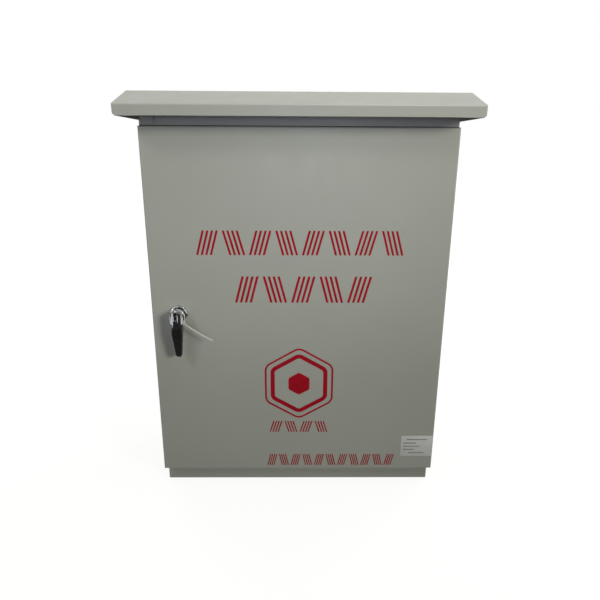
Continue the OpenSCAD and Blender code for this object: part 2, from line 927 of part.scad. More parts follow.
// Cam, upright when released, that swings behind the front frame
module lock_cam() {
  eye = spindle_square / 2 + slip_gap;
  color(zinc) at_lock() translate([0, 0, cam_back]) linear_extrude(cam_t) difference() {
    union() {
      circle(r = cam_w / 2 + cam_edge);
      polygon(rounded([
        [-cam_w / 2, 0, 0], [cam_w / 2, 0, 0],
        [cam_w / 2, cam_len, cam_corner], [-cam_w / 2, cam_len, cam_corner]
      ]));
    }
    square(2 * eye, center = true);
  }
}

module cam_screw() {
  color(zinc) at_lock() {
    translate([0, 0, cam_back - cam_washer_t]) cylinder(h = cam_washer_t, r = cam_washer_r);
    translate([0, 0, cam_back - cam_washer_t - cam_screw_head]) hexagon(cam_screw_flats, cam_screw_head);
    translate([0, 0, cam_back - cam_washer_t - through])
      cylinder(h = cam_washer_t + screw_depth - through, r = screw_r);
  }
}

// Nylon tie that hangs round the hub, with its head at the lower right and a long free tail
module cable_tie() {
  tail_half = tie_w / 2;
  color(nylon) at_lock() translate([0, -tie_hang, tie_h]) rotate([-tie_lean, -tie_lean, 0]) {
    rotate_extrude() translate([tie_r, -tie_w / 2]) square([tie_t, tie_w]);
    rotate([0, 0, tie_head_turn]) {
      translate([tie_r + tie_t / 2, -tie_head.y / 2, -tie_head.z / 2]) cube(tie_head);
      translate([tie_r + tie_head.x, 0, -tie_t / 2]) rotate([0, 0, tail_aim - tie_head_turn])
        linear_extrude(tie_t) polygon(concat(
          [for (k = [0 : 12]) let (a = k / 12 * tail_turn)
            [0, -tail_bow] + (tail_bow + tail_half) * [sin(a), cos(a)]],
          [for (k = [12 : -1 : 0]) let (a = k / 12 * tail_turn)
            [0, -tail_bow] + (tail_bow - tail_half) * [sin(a), cos(a)]]
        ));
    }
  }
}

// Mounting plate

module stud_places() {
  for (x = [-stud_x, stud_x], z = stud_z) on_plate(x, z) children();
}

module plate_studs() {
  color(zinc) stud_places() {
    translate([0, 0, -plate_t - plate_stand]) cylinder(h = plate_stand, r = stud_boss_r);
    translate([0, 0, -plate_t - through]) cylinder(h = plate_t + through + stud_len, r = stud_r);
  }
}

module mounting_plate() {
  color(zinc) difference() {
    translate([0, plate_back, body_h / 2]) rotate([90, 0, 0]) linear_extrude(plate_t)
      polygon(round_box([-plate_w / 2, -plate_h / 2], [plate_w / 2, plate_h / 2], plate_corner));
    stud_places() translate([0, 0, -plate_t - through])
      cylinder(h = plate_t + 2 * through, r = stud_r + slip_gap);
  }
}

module plate_nuts() {
  color(zinc) stud_places() difference() {
    union() {
      cylinder(h = washer_t, r = washer_r);
      hexagon(bolt_flats, washer_t + nut_h);
    }
    translate([0, 0, -through]) cylinder(h = washer_t + nut_h + 2 * through, r = stud_r + press_gap);
  }
}

// Top-hat rail with a row of slots
module din_rail(row) {
  slot_count = floor(rail_len / rail_slot_pitch) - 1;
  inner = rail_web - rail_t;
  color(zinc) on_plate(0, row_z[row]) difference() {
    along_x(rail_len) polygon([
      [-rail_web, 0], [-rail_web, rail_d - rail_t], [-rail_half, rail_d - rail_t], [-rail_half, rail_d],
      [-inner, rail_d], [-inner, rail_t], [inner, rail_t], [inner, rail_d], [rail_half, rail_d],
      [rail_half, rail_d - rail_t], [rail_web, rail_d - rail_t], [rail_web, 0]
    ]);
    for (i = [0 : slot_count]) translate([(i - slot_count / 2) * rail_slot_pitch, 0, rail_t / 2])
      cube([rail_slot[0], rail_slot[1], 2 * rail_t], center = true);
  }
}

module din_rail_upper() din_rail(2);
module din_rail_middle() din_rail(1);
module din_rail_lower() din_rail(0);

module rail_screws() {
  off = rail_len / 2 - rail_screw_end;
  color(zinc) for (z = row_z, x = [-off, off]) on_plate(x, z) translate([0, 0, rail_t])
    cylinder(h = rail_screw_h, r1 = rail_screw_r, r2 = rail_screw_top);
}

// Slotted wiring duct along local X

// Side wall of a duct, a comb of fingers along its open edge
function comb(length) =
  let (
    count = floor((length - 2 * duct_slot) / duct_pitch),
    first = (length - (count - 1) * duct_pitch - duct_slot) / 2
  )
  concat(
    [[0, 0], [length, 0], [length, duct_d]],
    [for (i = [count - 1 : -1 : 0]) let (a = first + i * duct_pitch, b = a + duct_slot)
      each [[b, duct_d], [b, duct_root], [a, duct_root], [a, duct_d]]],
    [[0, duct_d]]
  );

module duct(length) {
  block([-length / 2, -duct_w / 2, 0], [length / 2, duct_w / 2, duct_wall]);
  for (y = [-duct_w / 2 + duct_wall, duct_w / 2])
    translate([-length / 2, y, 0]) rotate([90, 0, 0]) linear_extrude(duct_wall) polygon(comb(length));
}

module duct_cover(length) {
  half = duct_w / 2 + duct_lap;
  inner = half - duct_wall;
  lip = duct_d - cover_lip;
  along_x(length) polygon([
    [-half, lip], [-half, duct_d + duct_wall], [half, duct_d + duct_wall], [half, lip],
    [inner, lip], [inner, duct_d], [-inner, duct_d], [-inner, lip]
  ]);
}

module side_duct_place(side) {
  on_plate(side * duct_x, body_h / 2) rotate([0, 0, 90]) children();
}

module duct_left() color(duct_grey) side_duct_place(-1) duct(plate_h - 2 * duct_edge);
module duct_right() color(duct_grey) side_duct_place(1) duct(plate_h - 2 * duct_edge);

module cross_ducts() {
  color(duct_grey) for (z = cross_z) on_plate(0, z) duct(cross_len);
}

module duct_covers() {
  color(duct_grey) {
    for (side = [-1, 1]) side_duct_place(side) duct_cover(plate_h - 2 * duct_edge);
    for (z = cross_z) on_plate(0, z) duct_cover(cross_len);
  }
}

// Devices on the rails

// Side outline [height, depth] of a device that clips on a top-hat rail
function device_outline(form) =
  let (
    h = form[0] / 2,
    nose = form[2] / 2,
    seat = rail_half + slip_gap,
    tuck = rail_d - rail_t - slip_gap,
    hook = rail_half - clip_reach
  )
  rounded([
    [h, clip_d, 0], [hook, clip_d, 0], [hook, tuck, 0], [seat, tuck, 0], [seat, rail_d, 0],
    [-seat, rail_d, 0], [-seat, tuck, 0], [-hook, tuck, 0], [-hook, clip_d, 0], [-h, clip_d, 0],
    [-h, form[1], form_edge], [-nose, form[1], form_inner], [-nose, form[3], form_edge],
    [nose, form[3], form_edge], [nose, form[1], form_inner], [h, form[1], form_edge]
  ], 3);

module device(form, width) {
  along_x(width) polygon(device_outline(form));
}

// Rows of clamp screw wells and wire entries along both shoulders
module clamp_wells(form, count, pitch, r) {
  shoulder = (form[0] + form[2]) / 4;
  for (i = [0 : count - 1], side = [-1, 1]) translate([(i - (count - 1) / 2) * pitch, 0, 0]) {
    translate([0, side * shoulder, form[1] - well_d]) cylinder(h = well_d + through, r = r);
    translate([0, side * form[0] / 2, form[1] / 2])
      cube([2 * r, 2 * entry_deep, 2 * r + entry_tall], center = true);
  }
}

// Breaker of one or more poles with a pocket for its toggle
module breaker(poles) {
  width = poles * pole_w;
  slot = (poles - 1) * pole_w + toggle_slot;
  color(pale) difference() {
    device(breaker_form, width);
    clamp_wells(breaker_form, poles, pole_w, breaker_well_r);
    translate([0, 0, toggle_pivot]) rotate([0, 90, 0]) {
      cylinder(h = slot, r = toggle_r + loose_gap, center = true);
      cylinder(h = slot + 2 * trunnion_len, r = trunnion_r + run_gap, center = true);
    }
    block([-slot / 2, -toggle_r, toggle_pivot], [slot / 2, toggle_r, breaker_form[3] + through]);
    for (i = [1 : 1 : poles - 1])
      translate([(i - poles / 2) * pole_w, 0, breaker_form[1]])
        cube([pole_groove, 2 * breaker_form[0], 2 * pole_groove], center = true);
  }
}

// Toggle on trunnions, thrown upwards at rest
module toggle(poles) {
  slot = (poles - 1) * pole_w + toggle_slot;
  width = slot - 2 * loose_gap;
  color(device_grey) translate([0, 0, toggle_pivot]) {
    rotate([0, 90, 0]) {
      cylinder(h = width, r = toggle_r, center = true);
      cylinder(h = slot + 2 * (trunnion_len - loose_gap), r = trunnion_r, center = true);
    }
    rotate([-toggle_lean, 0, 0]) along_x(width - 4 * loose_gap) polygon(rounded([
      [-toggle_root_half, toggle_root, 0], [toggle_root_half, toggle_root, 0],
      [toggle_end_half, toggle_len, toggle_edge], [-toggle_end_half, toggle_len, toggle_edge]
    ]));
  }
}

module main_breaker() on_plate(main_x, row_z[2]) breaker(main_poles);
module main_toggle() on_plate(main_x, row_z[2]) toggle(main_poles);

module on_branch(i) {
  on_plate(branch_x + (i - 1) * branch_pitch, row_z[2]) children();
}

module branch_breaker(i) on_branch(i) breaker(1);
module branch_toggle(i) on_branch(i) toggle(1);

module contactor() {
  color(device_grey) on_plate(contactor_x, row_z[2]) difference() {
    device(contactor_form, contactor_w);
    clamp_wells(contactor_form, contactor_poles, contactor_pitch, contactor_well_r);
    translate([0, 0, contactor_form[3] - armature.z / 2 + through / 2])
      cube(armature + [2 * loose_gap, 2 * loose_gap, through], center = true);
  }
}

// Moving contact carrier that shows in the contactor's face
module contactor_armature() {
  low = contactor_form[3] - armature.z + armature_proud;
  color(black) on_plate(contactor_x, row_z[2]) difference() {
    translate([-armature.x / 2, -armature.y / 2, low]) cube(armature);
    translate([0, 0, low + armature.z])
      cube([2 * armature.x, armature_groove[0], 2 * armature_groove[1]], center = true);
  }
}

module power_supply() {
  color(zinc) on_plate(supply_x, row_z[1]) difference() {
    device(supply_form, supply_w);
    clamp_wells(supply_form, supply_wells, supply_pitch, supply_well_r);
    for (i = [-3 : 3])
      translate([0, i * louvre_pitch, supply_form[3]]) cube([louvre.x, louvre.y, 2 * louvre.z], center = true);
  }
}

module dimming_controller() {
  color(pale) on_plate(controller_x, row_z[1]) difference() {
    device(controller_form, controller_w);
    clamp_wells(controller_form, controller_wells, controller_pitch, controller_well_r);
    translate([0, 0, controller_form[3]])
      cube([controller_face.x, controller_face.y, 2 * controller_face.z], center = true);
  }
}

module terminal_blocks() {
  color(duct_grey) for (i = [0 : terminal_count - 1])
    on_plate(terminal_x + i * terminal_pitch, row_z[0]) difference() {
      device(terminal_form, terminal_w);
      clamp_wells(terminal_form, 1, 0, terminal_well_r);
    }
}

module end_stops() {
  off = terminal_w / 2 + stop_w / 2 + stack_gap;
  color(device_grey) for (x = [terminal_x - off, terminal_x + (terminal_count - 1) * terminal_pitch + off])
    on_plate(x, row_z[0]) difference() {
      device(stop_form, stop_w);
      translate([0, 0, stop_form[3] - stop_screw_d]) cylinder(h = stop_screw_d + through, r = stop_screw_r);
    }
}

// Earth bar on two insulating posts

module on_earth(x) {
  on_plate(earth_x + x, row_z[0] - earth_drop) children();
}

module earth_bar_holes() {
  count = floor((earth_len - 2 * earth_end) / earth_pitch);
  for (i = [0 : count]) translate([(i - count / 2) * earth_pitch, 0, 0]) children();
}

module earth_bar() {
  color(brass) on_earth(0) difference() {
    translate([-earth_bar.x / 2, -earth_bar.y / 2, earth_post_h]) cube(earth_bar);
    earth_bar_holes() translate([0, 0, earth_post_h - through])
      cylinder(h = earth_bar.z + 2 * through, r = earth_screw_r);
  }
}

module earth_posts() {
  color(rubber) for (side = [-1, 1])
    on_earth(side * (earth_len / 2 - earth_post_end)) {
      cylinder(h = earth_post_h, r = earth_post_r);
      translate([0, 0, earth_post_h / 3]) cylinder(h = earth_post_h / 3, r = earth_post_r + earth_post_rib);
    }
}

module earth_screws() {
  color(zinc) on_earth(0) earth_bar_holes() {
    translate([0, 0, earth_post_h + through]) cylinder(h = earth_bar.z, r = earth_screw_r - press_gap);
    translate([0, 0, earth_post_h + earth_bar.z]) difference() {
      cylinder(h = earth_head_h, r = earth_head_r);
      translate([0, 0, earth_head_h])
        cube([2 * earth_head_r + through, earth_slot[0], 2 * earth_slot[1]], center = true);
    }
  }
}

body_shell();
door_header();
canopy();
canopy_rail_left();
canopy_rail_right();
canopy_bolts();
canopy_nuts();
gland_gasket();
gland_plate();
gland_screws();
cable_grommets();
hinge_bracket_upper();
hinge_bracket_lower();
hinge_pin_upper();
hinge_pin_lower();
plate_studs();
mounting_plate();
plate_nuts();
din_rail_upper();
din_rail_middle();
din_rail_lower();
rail_screws();
duct_left();
duct_right();
cross_ducts();
duct_covers();
main_breaker();
main_toggle();
for (i = [1 : branch_count]) {
  branch_breaker(i);
  branch_toggle(i);
}
contactor();
contactor_armature();
power_supply();
dimming_controller();
terminal_blocks();
end_stops();
earth_bar();
earth_posts();
earth_screws();
body_earth_stud();
door_panel();
door_seal();
door_ribs();
door_earth_stud();
hinge_leaf_upper();
hinge_leaf_lower();
lock_housing();
lock_nut();
handle();
handle_grip();
key_plug();
lock_cam();
cam_screw();
cable_tie();
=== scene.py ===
"""Looks of the lighting control cabinet: finishes, door print, device fittings, studio and camera. Metres."""

import json
import math

import bpy
from mathutils import Matrix, Vector

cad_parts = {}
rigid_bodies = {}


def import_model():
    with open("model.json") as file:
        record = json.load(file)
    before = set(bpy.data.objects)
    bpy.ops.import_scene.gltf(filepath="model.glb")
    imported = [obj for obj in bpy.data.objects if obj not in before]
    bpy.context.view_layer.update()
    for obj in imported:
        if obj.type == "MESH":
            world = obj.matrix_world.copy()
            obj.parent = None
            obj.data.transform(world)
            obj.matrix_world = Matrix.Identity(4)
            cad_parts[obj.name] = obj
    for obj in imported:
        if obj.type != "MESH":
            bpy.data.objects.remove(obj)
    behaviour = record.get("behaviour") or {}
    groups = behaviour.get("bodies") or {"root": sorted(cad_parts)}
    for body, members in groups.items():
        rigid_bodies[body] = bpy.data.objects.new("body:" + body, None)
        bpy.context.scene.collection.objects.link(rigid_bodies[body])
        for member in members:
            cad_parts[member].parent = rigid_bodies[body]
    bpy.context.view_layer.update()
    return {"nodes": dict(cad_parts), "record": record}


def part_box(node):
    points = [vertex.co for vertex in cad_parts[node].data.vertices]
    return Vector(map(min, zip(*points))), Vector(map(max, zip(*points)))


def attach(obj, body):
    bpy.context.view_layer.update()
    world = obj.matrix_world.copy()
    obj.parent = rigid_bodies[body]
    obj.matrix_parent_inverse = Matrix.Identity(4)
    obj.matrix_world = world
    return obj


bpy.ops.object.select_all(action="SELECT")
bpy.ops.object.delete()
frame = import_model()
NODES = frame["nodes"]
MM = 0.001

# Camera, fitted to the photograph's 600 x 600 frame
PHOTO_SIDE = 600
FOCAL_PIXELS = 509.0
SENSOR = 36.0
CAMERA_PLACE = Vector((-0.0093, -1.1252, 0.7299))
CAMERA_PITCH = math.radians(16.51)
CAMERA_YAW = math.radians(-0.66)
CAMERA_ROLL = math.radians(0.33)

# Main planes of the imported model
DOOR_LOW, DOOR_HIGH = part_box("door_panel")
DOOR_FACE = DOOR_LOW.y
DOOR_BOTTOM = DOOR_LOW.z
PLATE_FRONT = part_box("mounting_plate")[0].y
INK = 0.12 * MM
FACING_DOOR = (math.pi / 2, 0, 0)


# Bench helpers

def deselect():
    """Leaves object mode with nothing selected."""
    if bpy.context.object and bpy.context.object.mode != "OBJECT":
        bpy.ops.object.mode_set(mode="OBJECT")
    bpy.ops.object.select_all(action="DESELECT")


def take(piece):
    """Selects one piece alone and makes it the active one."""
    deselect()
    piece.select_set(True)
    bpy.context.view_layer.objects.active = piece


def settle(name):
    """Names the active piece and puts its place into its mesh."""
    piece = bpy.context.object
    piece.name = name
    piece.data.name = name
    bpy.ops.object.transform_apply(location=True, rotation=True, scale=True)
    return piece


def edit_all(piece):
    """Enters edit mode on a piece with all of it selected."""
    take(piece)
    bpy.ops.object.mode_set(mode="EDIT")
    bpy.ops.mesh.select_all(action="SELECT")


def edit_points(piece, test):
    """Enters edit mode on a piece with the points that pass a test selected."""
    edit_all(piece)
    bpy.ops.mesh.select_mode(type="VERT")
    bpy.ops.mesh.select_all(action="DESELECT")
    bpy.ops.object.mode_set(mode="OBJECT")
    for point in piece.data.vertices:
        point.select = test(point.co)
    bpy.ops.object.mode_set(mode="EDIT")


def leave_edit():
    bpy.ops.object.mode_set(mode="OBJECT")


def block(name, low, high):
    """A cube primitive stretched between two corners, ready to be shaped."""
    deselect()
    low, high = Vector(low), Vector(high)
    bpy.ops.mesh.primitive_cube_add(size=1, location=(low + high) / 2)
    bpy.context.object.scale = high - low
    return settle(name)


def soft_block(name, low, high, edge, segments=2):
    """A block with all its edges rounded."""
    piece = block(name, low, high)
    edit_all(piece)
    bpy.ops.mesh.bevel(offset=edge, segments=segments)
    leave_edit()
    bpy.ops.object.shade_smooth_by_angle()
    return piece


def apply_modifier(piece, kind, **values):
    """Adds a modifier with its values and applies it."""
    take(piece)
    modifier = piece.modifiers.new(kind.lower(), kind)
    for key, value in values.items():
        setattr(modifier, key, value)
    bpy.ops.object.modifier_apply(modifier=modifier.name)


def join(name, pieces):
    """Joins pieces into the first one."""
    take(pieces[0])
    for piece in pieces:
        piece.select_set(True)
    if len(pieces) > 1:
        bpy.ops.object.join()
    pieces[0].name = name
    pieces[0].data.name = name
    return pieces[0]


def copies(piece, name, offsets):
    """Copies of one modelled piece at each offset, joined under a name."""
    twins = []
    for offset in offsets:
        twin = piece.copy()
        twin.data = piece.data.copy()
        twin.data.transform(Matrix.Translation(offset))
        bpy.context.scene.collection.objects.link(twin)
        twins.append(twin)
    bpy.data.objects.remove(piece)
    return join(name, twins)


def dress(piece, body, material):
    """Lets a finished piece ride on its body with its finish."""
    piece.data.materials.clear()
    piece.data.materials.append(material)
    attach(piece, body)
    return piece


# Materials

def finish(name, color, roughness, metallic=0.0):
    """A principled material with its tree, shader and object coordinates."""
    material = bpy.data.materials.new(name)
    material.use_nodes = True
    tree = material.node_tree
    shader = tree.nodes["Principled BSDF"]
    shader.inputs["Base Color"].default_value = (*color, 1)
    shader.inputs["Roughness"].default_value = roughness
    shader.inputs["Metallic"].default_value = metallic
    place = tree.nodes.new("ShaderNodeTexCoord").outputs["Object"]
    return material, tree, shader, place


def noise(tree, place, scale, detail=3.0, roughness=0.5):
    node = tree.nodes.new("ShaderNodeTexNoise")
    node.inputs["Scale"].default_value = scale
    node.inputs["Detail"].default_value = detail
    node.inputs["Roughness"].default_value = roughness
    tree.links.new(place, node.inputs["Vector"])
    return node.outputs["Fac"]


def ramp(tree, factor, stops):
    """A colour ramp through (position, colour) stops."""
    node = tree.nodes.new("ShaderNodeValToRGB")
    elements = node.color_ramp.elements
    while len(elements) < len(stops):
        elements.new(0.5)
    for element, (position, color) in zip(elements, stops):
        element.position = position
        element.color = (*color, 1)
    tree.links.new(factor, node.inputs["Fac"])
    return node.outputs["Color"]


def spread(tree, factor, low, high):
    """Maps a 0.3 to 0.7 noise onto a range of values."""
    node = tree.nodes.new("ShaderNodeMapRange")
    node.inputs["From Min"].default_value = 0.3
    node.inputs["From Max"].default_value = 0.7
    node.inputs["To Min"].default_value = low
    node.inputs["To Max"].default_value = high
    tree.links.new(factor, node.inputs["Value"])
    return node.outputs["Result"]


def bump(tree, shader, height, distance, strength=0.5):
    node = tree.nodes.new("ShaderNodeBump")
    node.inputs["Strength"].default_value = strength
    node.inputs["Distance"].default_value = distance
    tree.links.new(height, node.inputs["Height"])
    tree.links.new(node.outputs["Normal"], shader.inputs["Normal"])


def tint(color, share):
    return tuple(c * share for c in color)


def mottled(name, color, roughness, metallic=0.0, patch=14.0, depth=0.04, grain=900.0, height=0.02 * MM):
    """A finish with faint patches of tone, uneven gloss and a fine grain."""
    material, tree, shader, place = finish(name, color, roughness, metallic)
    patches = noise(tree, place, patch, 4.0, 0.6)
    tone = ramp(tree, patches, [(0.35, tint(color, 1 - depth)), (0.65, tint(color, 1 + depth))])
    tree.links.new(tone, shader.inputs["Base Color"])
    gloss = noise(tree, place, patch * 6, 3.0)
    tree.links.new(spread(tree, gloss, roughness * 0.88, roughness * 1.12), shader.inputs["Roughness"])
    bump(tree, shader, noise(tree, place, grain, 2.0), height)
    return material


def galvanised():
    """Bare galvanised sheet with its flake-like crystals."""
    color = (0.50, 0.51, 0.52)
    material, tree, shader, place = finish("galvanised_sheet", color, 0.42, 1.0)
    cells = tree.nodes.new("ShaderNodeTexVoronoi")
    cells.inputs["Scale"].default_value = 130.0
    tree.links.new(place, cells.inputs["Vector"])
    flake = cells.outputs["Color"]
    tone = ramp(tree, flake, [(0.2, tint(color, 0.92)), (0.8, tint(color, 1.06))])
    tree.links.new(tone, shader.inputs["Base Color"])
    tree.links.new(spread(tree, flake, 0.40, 0.48), shader.inputs["Roughness"])
    bump(tree, shader, noise(tree, place, 700.0, 3.0), 0.01 * MM)
    return material


def translucent_nylon():
    """Natural nylon that lets a little light through."""
    material = mottled("natural_nylon", (0.54, 0.54, 0.50), 0.35, patch=60.0, depth=0.03, grain=1500.0)
    shader = material.node_tree.nodes["Principled BSDF"]
    shader.inputs["Subsurface Weight"].default_value = 0.25
    shader.inputs["Subsurface Scale"].default_value = 1.5 * MM
    return material


def matt_ink():
    """Red screen print with hardly any gloss."""
    material = mottled("red_ink", (0.285, 0.003, 0.012), 0.6, patch=60.0, depth=0.12, grain=2500.0)
    shader = material.node_tree.nodes["Principled BSDF"]
    shader.inputs["Specular IOR Level"].default_value = 0.1
    return material


CHROME_WAVES = 130.0
CHROME_WAVE_H = 1.2 * MM
CHROME_STRETCH = (1.0, 1.0, 0.3)


def wavy_chrome():
    """Chrome over a cast surface, whose long shallow waves bend what it mirrors."""
    material, tree, shader, place = finish("chrome_plate", (0.42, 0.43, 0.44), 0.06, 1.0)
    stretch = tree.nodes.new("ShaderNodeMapping")
    stretch.inputs["Scale"].default_value = CHROME_STRETCH
    tree.links.new(place, stretch.inputs["Vector"])
    waves = noise(tree, stretch.outputs["Vector"], CHROME_WAVES, 1.0)
    bump(tree, shader, waves, CHROME_WAVE_H, 1.0)
    return material


PAINT = (0.306, 0.318, 0.287)
FINISH = {
    "paint": mottled("powder_coat", PAINT, 0.44, patch=5.0, depth=0.022, grain=520.0, height=0.05 * MM),
    "zinc": mottled("zinc_plate", (0.60, 0.61, 0.62), 0.36, 1.0, patch=30.0, depth=0.08, grain=1500.0),
    "pin_steel": mottled("ground_steel", (0.46, 0.47, 0.48), 0.3, 1.0, patch=60.0),
    "chrome": wavy_chrome(),
    "rubber": mottled("black_rubber", (0.022, 0.022, 0.022), 0.75, patch=40.0, depth=0.15, grain=600.0,
                      height=0.08 * MM),
    "brass": mottled("brass", (0.62, 0.45, 0.17), 0.32, 1.0, patch=50.0, depth=0.08),
    "pale_plastic": mottled("pale_plastic", (0.60, 0.60, 0.57), 0.45, patch=30.0, depth=0.02, grain=1800.0),
    "dark_plastic": mottled("dark_plastic", (0.035, 0.037, 0.04), 0.42, patch=30.0, depth=0.08, grain=1800.0),
    "black_plastic": mottled("black_plastic", (0.006, 0.006, 0.006), 0.3, patch=40.0, depth=0.1,
                             grain=1500.0),
    "duct_plastic": mottled("duct_plastic", (0.30, 0.32, 0.34), 0.5, patch=20.0, depth=0.03, grain=1500.0),
    "terminal_plastic": mottled("terminal_plastic", (0.34, 0.33, 0.28), 0.5, patch=30.0, depth=0.04,
                                grain=1800.0),
    "nylon": translucent_nylon(),
}
SHEET = galvanised()
SHEET_NODES = ("mounting_plate", "canopy_rail_left", "canopy_rail_right", "gland_plate", "power_supply")
RED_INK = matt_ink()
PLATE_FACE = mottled("plate_face", (0.54, 0.55, 0.55), 0.5, patch=40.0, depth=0.03, grain=2500.0)
GREY_PRINT = mottled("grey_print", (0.20, 0.20, 0.21), 0.5, patch=90.0, depth=0.1, grain=2500.0)
DARK_FACE = mottled("dark_face", (0.045, 0.06, 0.085), 0.4, patch=60.0, depth=0.08, grain=2000.0)
DARK_GLASS = mottled("dark_glass", (0.012, 0.018, 0.016), 0.12, patch=80.0, depth=0.1, grain=300.0,
                     height=0.001 * MM)
GREEN_LENS = mottled("green_lens", (0.02, 0.34, 0.07), 0.15, patch=300.0, depth=0.1, height=0.002 * MM)
RED_LENS = mottled("red_lens", (0.42, 0.02, 0.015), 0.2, patch=300.0, depth=0.1, height=0.002 * MM)

for entry in frame["record"]["subparts"]:
    mesh = NODES[entry["node"]].data
    mesh.materials.clear()
    mesh.materials.append(SHEET if entry["node"] in SHEET_NODES else FINISH[entry["material_slot"]])


# Print on the door: bands of slanted strokes and a six-sided emblem

STROKES = 4
STROKE_ROUND_SHARE = 0.3
LEAN_SHARE = 0.3
CELL_GAP_SHARE = 0.14
# Name, cells, then left, right, low and high from the door's middle and lower edge, and the stroke, in mm
BANDS = [
    ("title_band", 8, -204, 207, 488, 537, 4.4),
    ("subtitle_band", 5, -130, 147, 390, 445, 4.8),
    ("caption_band", 4, -63, 64, 93, 120, 2.8),
    ("footer_band", 11, -69, 214, 9, 37, 2.3),
]


def raise_ink(piece):
    """Gives a flat shape on the door the thickness of its ink."""
    edit_all(piece)
    bpy.ops.mesh.extrude_region_move(TRANSFORM_OT_translate={"value": (0, -INK, 0)})
    bpy.ops.mesh.select_all(action="SELECT")
    bpy.ops.mesh.normals_make_consistent(inside=False)
    leave_edit()
    return piece


def hatch_cell(name, width, height, stroke, lean):
    """A cell of slanted strokes with its lower left corner at the origin of the door's face."""
    deselect()
    foot = max(-lean, 0)
    centre = (foot + stroke / 2, DOOR_FACE, height / 2)
    bpy.ops.mesh.primitive_plane_add(size=1, location=centre, rotation=FACING_DOOR)
    bpy.context.object.scale = (stroke, height, 1)
    piece = settle(name)
    edit_points(piece, lambda point: point.z > height / 2)
    bpy.ops.transform.translate(value=(lean, 0, 0))
    bpy.ops.mesh.select_all(action="SELECT")
    bpy.ops.mesh.bevel(offset=stroke * STROKE_ROUND_SHARE, segments=3, affect="VERTICES")
    leave_edit()
    raise_ink(piece)
    pitch = (width - stroke - abs(lean)) / (STROKES - 1)
    apply_modifier(piece, "ARRAY", count=STROKES, use_relative_offset=False, use_constant_offset=True,
                   constant_offset_displace=(pitch, 0, 0))
    return piece


def hatch_band(name, cells, left, right, low, high, stroke):
    """A row of hatched cells that lean left and right in turn."""
    pitch = (right - left) / (cells - CELL_GAP_SHARE)
    width = pitch * (1 - CELL_GAP_SHARE)
    rows = []
    for turn in (0, 1):
        lean = width * LEAN_SHARE * (1 - 2 * turn)
        cell = hatch_cell(name, width * MM, (high - low) * MM, stroke * MM, lean * MM)
        places = [Vector(((left + i * pitch) * MM, 0, DOOR_BOTTOM + low * MM)) for i in range(turn, cells, 2)]
        rows.append(copies(cell, name, places))
    dress(join(name, rows), "door", RED_INK)


EMBLEM_CENTRE = (1, 209)
# Radius and stroke of each ring, and the solid centre, in mm
EMBLEM_RINGS = ((84, 4), (70, 9))
EMBLEM_HEART = 26
EMBLEM_CORNER_SHARE = 0.13


def hexagon(name, radius):
    """A flat six-sided shape with rounded corners on the door."""
    deselect()
    centre = (EMBLEM_CENTRE[0] * MM, DOOR_FACE, DOOR_BOTTOM + EMBLEM_CENTRE[1] * MM)
    bpy.ops.mesh.primitive_circle_add(vertices=6, radius=radius * MM, fill_type="NGON", location=centre,
                                      rotation=FACING_DOOR)
    piece = settle(name)
    edit_all(piece)
    bpy.ops.mesh.bevel(offset=radius * EMBLEM_CORNER_SHARE * MM, segments=5, affect="VERTICES")
    leave_edit()
    return piece


def emblem():
    name = "door_emblem"
    shapes = []
    for radius, stroke in EMBLEM_RINGS:
        ring = hexagon(name, radius)
        edit_all(ring)
        bpy.ops.mesh.inset(thickness=stroke * MM, depth=0)
        bpy.ops.mesh.delete(type="FACE")
        leave_edit()
        shapes.append(raise_ink(ring))
    shapes.append(raise_ink(hexagon(name, EMBLEM_HEART)))
    dress(join(name, shapes), "door", RED_INK)


# Left, low, right and high of the pale plate on the door, in mm
PALE_PLATE = (228, 32, 298, 83)
PALE_PLATE_T = 0.5 * MM
# Height, left and right of each bar on the plate, in mm
PLATE_BARS = ((74, 240, 286), (65, 233, 262), (57, 233, 270), (49, 233, 258), (41, 246, 280))
BAR_HALF = 1.2


def pale_plate():
    left, low, right, high = PALE_PLATE
    front = DOOR_FACE - PALE_PLATE_T
    plate = soft_block("pale_plate", (left * MM, front, DOOR_BOTTOM + low * MM),
                       (right * MM, DOOR_FACE, DOOR_BOTTOM + high * MM), PALE_PLATE_T / 4)
    dress(plate, "door", PLATE_FACE)
    bars = [
        soft_block("plate_bars", (start * MM, front - INK, DOOR_BOTTOM + (z - BAR_HALF) * MM),
                   (end * MM, front, DOOR_BOTTOM + (z + BAR_HALF) * MM), INK / 3)
        for z, start, end in PLATE_BARS
    ]
    dress(join("plate_bars", bars), "door", GREY_PRINT)


for band in BANDS:
    hatch_band(*band)
emblem()
pale_plate()


# Black strip under the folded header, just clear of the door's upper edge: a dark sheet that stands in for
# the shadow in the gap above the door (painted shade)

GAP_SHADE_INSET = 0.4 * MM
GAP_SHADE_CLEAR = 0.3 * MM


def gap_shade_strip():
    low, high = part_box("door_header")
    strip = soft_block("gap_shade_strip", (low.x + GAP_SHADE_INSET, low.y + GAP_SHADE_INSET, DOOR_HIGH.z + GAP_SHADE_CLEAR),
                       (high.x - GAP_SHADE_INSET, high.y - GAP_SHADE_INSET, low.z), GAP_SHADE_CLEAR)
    # The black rubber finish here is painted shade: it makes the gap above the door dark however it is lit.
    dress(strip, "cabinet", FINISH["rubber"])


gap_shade_strip()


# Fittings of the devices inside

WELL_DEPTH = 7
HEAD_H = 2.2 * MM
HEAD_GAP = 0.25
HEAD_SIDES = 24
HEAD_ROUND_SHARE = 0.15
SLOT_SHARE = 0.28
LABEL_T = 0.3 * MM
WINDOW_T = 0.4 * MM
TAG_T = 0.5 * MM
BRANCHES = ["branch_breaker_%d" % number for number in (1, 2, 3, 4)]
